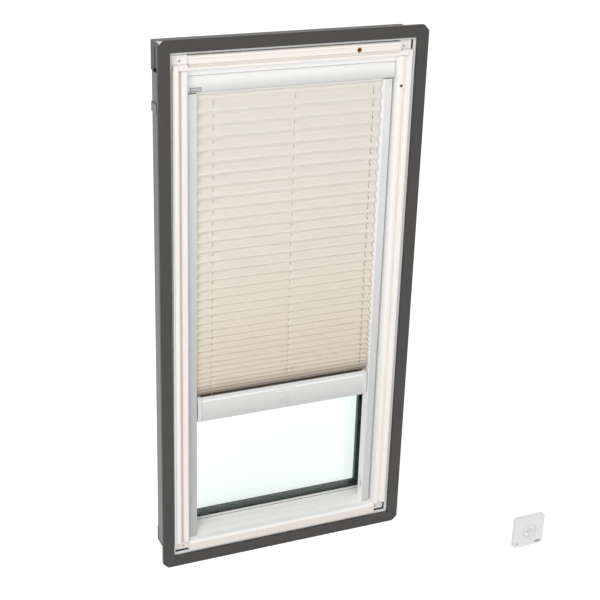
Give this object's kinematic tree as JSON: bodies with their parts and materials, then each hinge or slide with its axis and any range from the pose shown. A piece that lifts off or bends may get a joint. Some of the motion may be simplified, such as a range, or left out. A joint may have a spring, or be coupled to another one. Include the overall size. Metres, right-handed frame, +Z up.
{
  "type": "skylight window blind",
  "caption": "Fixed deck-mounted roof window seen from the room, with a motorised pleated blind in guide rails and a square wall keypad",
  "frame": {"origin": "middle of the bottom deck flange's room-side face", "axes": "+Z up the window, +X to the right seen from the room, +Y out through the roof"},
  "size_m": [0.886, 0.3147, 1.225],
  "materials": {
    "white_pine": "white lacquered pine, fine vertical grain",
    "dark_sheet": "dark brown-grey lacquered sheet",
    "grey_sheet": "grey coated sheet",
    "zinc_steel": "zinc-plated steel",
    "pale_seal": "pale translucent sealing strip",
    "foam": "black closed-cell foam",
    "glass": "clear glass",
    "spacer_metal": "dark green-black coated spacer bar",
    "black_rubber": "matt black",
    "white_aluminium": "satin white powder coat on extruded aluminium",
    "white_plastic": "white moulded plastic",
    "grey_plastic": "grey moulded plastic",
    "circuit_board": "green solder mask",
    "solar_cells": "dark blue cells behind a clear film",
    "pleated_cloth": "cream pleated polyester",
    "lift_cord": "braided cord",
    "light_lens": "clear lens"
  },
  "bodies": {
    "window": {"battery_pack": "grey_plastic", "bottom_cover": "dark_sheet", "cloth_head_strip": "white_plastic", "control_board": "circuit_board", "edge_sealant": "black_rubber", "end_cap_left": "white_plastic", "end_cap_right": "white_plastic", "fixing_angle": "white_aluminium", "flange_bottom": "dark_sheet", "flange_left": "dark_sheet", "flange_right": "dark_sheet", "flange_top": "dark_sheet", "foam_insulation": "foam", "gap_seal": "pale_seal", "gearbox": "grey_plastic", "glass_spacer": "spacer_metal", "glazing_gasket": "black_rubber", "headrail": "white_aluminium", "headrail_back": "white_aluminium", "headrail_clip_left": "zinc_steel", "headrail_clip_middle": "zinc_steel", "headrail_clip_right": "zinc_steel", "keypad_base": "white_plastic", "keypad_cover": "white_plastic", "keypad_light": "light_lens", "lift_cord_left": "lift_cord", "lift_cord_middle": "lift_cord", "lift_cord_right": "lift_cord", "motor": "zinc_steel", "pine_head": "white_pine", "pine_sill": "white_pine", "pine_stile_left": "white_pine", "pine_stile_right": "white_pine", "pleated_cloth": "pleated_cloth", "room_pane": "glass", "side_clip_left": "zinc_steel", "side_clip_right": "zinc_steel", "side_cover_left": "grey_sheet", "side_cover_right": "grey_sheet", "side_rail_left": "white_aluminium", "side_rail_right": "white_aluminium", "solar_strip": "solar_cells", "spool_cradle_left": "grey_plastic", "spool_cradle_middle": "grey_plastic", "spool_cradle_right": "grey_plastic", "top_cover": "dark_sheet", "weather_pane": "glass"},
    "bottom_bar": {"bottom_bar": "white_aluminium", "bar_cap_left": "white_plastic", "bar_cap_right": "white_plastic", "bar_grip": "white_plastic", "cloth_foot_strip": "white_plastic"},
    "spool_shaft": {"drive_shaft": "zinc_steel", "cord_spool_left": "grey_plastic", "cord_spool_middle": "grey_plastic", "cord_spool_right": "grey_plastic"},
    "up_button": {"up_button": "white_plastic"},
    "down_button": {"down_button": "white_plastic"},
    "stop_button": {"stop_button": "white_plastic"}
  },
  "joints": [
    {"name": "bar_travel", "type": "slide", "parent": "window", "child": "bottom_bar", "axis": [0, 0, 1], "range_m": [-0.288, 0.645], "deforming": ["pleated_cloth", "lift_cord_left", "lift_cord_middle", "lift_cord_right"]},
    {"name": "spool_turn", "type": "hinge", "parent": "window", "child": "spool_shaft", "pos_m": [0, 0.0428, 1.114], "axis": [-1, 0, 0], "range_deg": [-2130, 4760]},
    {"name": "up_button_press", "type": "slide", "parent": "window", "child": "up_button", "axis": [0, 1, 0], "range_m": [0, 0.001], "stiffness_N_per_m": 1500, "springref_m": -0.0008},
    {"name": "down_button_press", "type": "slide", "parent": "window", "child": "down_button", "axis": [0, 1, 0], "range_m": [0, 0.001], "stiffness_N_per_m": 1500, "springref_m": -0.0008},
    {"name": "stop_button_press", "type": "slide", "parent": "window", "child": "stop_button", "axis": [0, 1, 0], "range_m": [0, 0.001], "stiffness_N_per_m": 1500, "springref_m": -0.0008}
  ],
  "couplings": [
    {"joint": "spool_turn", "follows": "bar_travel", "rad_per_m": 128.21}
  ]
}
